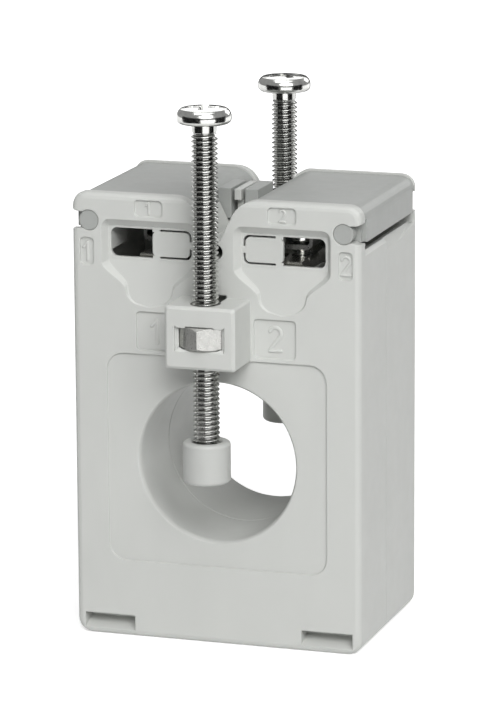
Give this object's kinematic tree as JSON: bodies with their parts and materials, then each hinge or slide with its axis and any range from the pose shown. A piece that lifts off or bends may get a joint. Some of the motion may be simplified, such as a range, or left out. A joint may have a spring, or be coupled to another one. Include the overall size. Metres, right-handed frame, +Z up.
{
  "type": "current transformer",
  "caption": "Moulded-case feed-through current transformer with round bore, two insulated clamp screws and hinged terminal covers.",
  "frame": {"origin": "centre of the foot, on the plane that the case stands on", "axes": "+X along the front to the right, +Y from the front face to the rear face along the bore, +Z up"},
  "size_m": [0.043, 0.0444, 0.0793],
  "materials": {
    "case_plastic": "fine satin moulded surface",
    "cover_plastic": "fine satin moulded surface",
    "cap_plastic": "satin",
    "plated_steel": "bright nickel plating",
    "zinc_steel": "satin zinc plating",
    "tinned_brass": "tin plating",
    "core_steel": "wound silicon steel strip",
    "insulating_paper": "pressed insulating wrap",
    "enamelled_copper": "enamelled copper wire",
    "winding_tape": "polyester tape"
  },
  "bodies": {
    "case": {"front_shell": "case_plastic", "rear_shell": "case_plastic", "front_clamp_nut": "zinc_steel", "rear_clamp_nut": "zinc_steel", "left_terminal_bar": "tinned_brass", "right_terminal_bar": "tinned_brass", "ring_core": "core_steel", "core_insulation": "insulating_paper", "secondary_winding": "enamelled_copper", "winding_wrap": "winding_tape", "left_lead": "enamelled_copper", "right_lead": "enamelled_copper"},
    "left_cover": {"left_cover": "cover_plastic"},
    "right_cover": {"right_cover": "cover_plastic"},
    "front_cap": {"front_cap": "cap_plastic"},
    "front_clamp_screw": {"front_clamp_screw": "plated_steel"},
    "rear_cap": {"rear_cap": "cap_plastic"},
    "rear_clamp_screw": {"rear_clamp_screw": "plated_steel"},
    "left_front_clamp_plate": {"left_front_clamp_plate": "zinc_steel"},
    "left_front_terminal_screw": {"left_front_terminal_screw": "plated_steel"},
    "left_rear_clamp_plate": {"left_rear_clamp_plate": "zinc_steel"},
    "left_rear_terminal_screw": {"left_rear_terminal_screw": "plated_steel"},
    "right_front_clamp_plate": {"right_front_clamp_plate": "zinc_steel"},
    "right_front_terminal_screw": {"right_front_terminal_screw": "plated_steel"},
    "right_rear_clamp_plate": {"right_rear_clamp_plate": "zinc_steel"},
    "right_rear_terminal_screw": {"right_rear_terminal_screw": "plated_steel"}
  },
  "joints": [
    {"name": "left_cover_hinge", "type": "hinge", "parent": "case", "child": "left_cover", "pos_m": [-0.0189, 0, 0.061], "axis": [0, -1, 0], "range_deg": [0, 90]},
    {"name": "right_cover_hinge", "type": "hinge", "parent": "case", "child": "right_cover", "pos_m": [0.0189, 0, 0.061], "axis": [0, 1, 0], "range_deg": [0, 90]},
    {"name": "front_cap_travel", "type": "slide", "parent": "case", "child": "front_cap", "axis": [0, 0, 1], "range_m": [-0.0245, 0.0105]},
    {"name": "front_clamp_screw_turn", "type": "hinge", "parent": "front_cap", "child": "front_clamp_screw", "pos_m": [0, -0.01815, 0.0762], "axis": [0, 0, 1], "range_deg": [-12603, 5403]},
    {"name": "rear_cap_travel", "type": "slide", "parent": "case", "child": "rear_cap", "axis": [0, 0, 1], "range_m": [-0.024, 0.01]},
    {"name": "rear_clamp_screw_turn", "type": "hinge", "parent": "rear_cap", "child": "rear_clamp_screw", "pos_m": [0, 0.01815, 0.0751], "axis": [0, 0, 1], "range_deg": [-12345.9, 5145.9]},
    {"name": "left_front_clamp_plate_travel", "type": "slide", "parent": "case", "child": "left_front_clamp_plate", "axis": [0, 0, 1], "range_m": [-0.001, 0.0012]},
    {"name": "left_front_terminal_screw_turn", "type": "hinge", "parent": "left_front_clamp_plate", "child": "left_front_terminal_screw", "pos_m": [-0.0104, -0.006, 0.058], "axis": [0, 0, 1], "range_deg": [-723, 867]},
    {"name": "left_rear_clamp_plate_travel", "type": "slide", "parent": "case", "child": "left_rear_clamp_plate", "axis": [0, 0, 1], "range_m": [-0.001, 0.0012]},
    {"name": "left_rear_terminal_screw_turn", "type": "hinge", "parent": "left_rear_clamp_plate", "child": "left_rear_terminal_screw", "pos_m": [-0.0104, 0.006, 0.058], "axis": [0, 0, 1], "range_deg": [-723, 867]},
    {"name": "right_front_clamp_plate_travel", "type": "slide", "parent": "case", "child": "right_front_clamp_plate", "axis": [0, 0, 1], "range_m": [-0.001, 0.0012]},
    {"name": "right_front_terminal_screw_turn", "type": "hinge", "parent": "right_front_clamp_plate", "child": "right_front_terminal_screw", "pos_m": [0.0104, -0.006, 0.058], "axis": [0, 0, 1], "range_deg": [-723, 867]},
    {"name": "right_rear_clamp_plate_travel", "type": "slide", "parent": "case", "child": "right_rear_clamp_plate", "axis": [0, 0, 1], "range_m": [-0.001, 0.0012]},
    {"name": "right_rear_terminal_screw_turn", "type": "hinge", "parent": "right_rear_clamp_plate", "child": "right_rear_terminal_screw", "pos_m": [0.0104, 0.006, 0.058], "axis": [0, 0, 1], "range_deg": [-723, 867]}
  ],
  "couplings": [
    {"joint": "front_clamp_screw_turn", "follows": "front_cap_travel", "rad_per_m": 8976},
    {"joint": "rear_clamp_screw_turn", "follows": "rear_cap_travel", "rad_per_m": 8976},
    {"joint": "left_front_terminal_screw_turn", "follows": "left_front_clamp_plate_travel", "rad_per_m": 12566},
    {"joint": "left_rear_terminal_screw_turn", "follows": "left_rear_clamp_plate_travel", "rad_per_m": 12566},
    {"joint": "right_front_terminal_screw_turn", "follows": "right_front_clamp_plate_travel", "rad_per_m": 12566},
    {"joint": "right_rear_terminal_screw_turn", "follows": "right_rear_clamp_plate_travel", "rad_per_m": 12566}
  ]
}
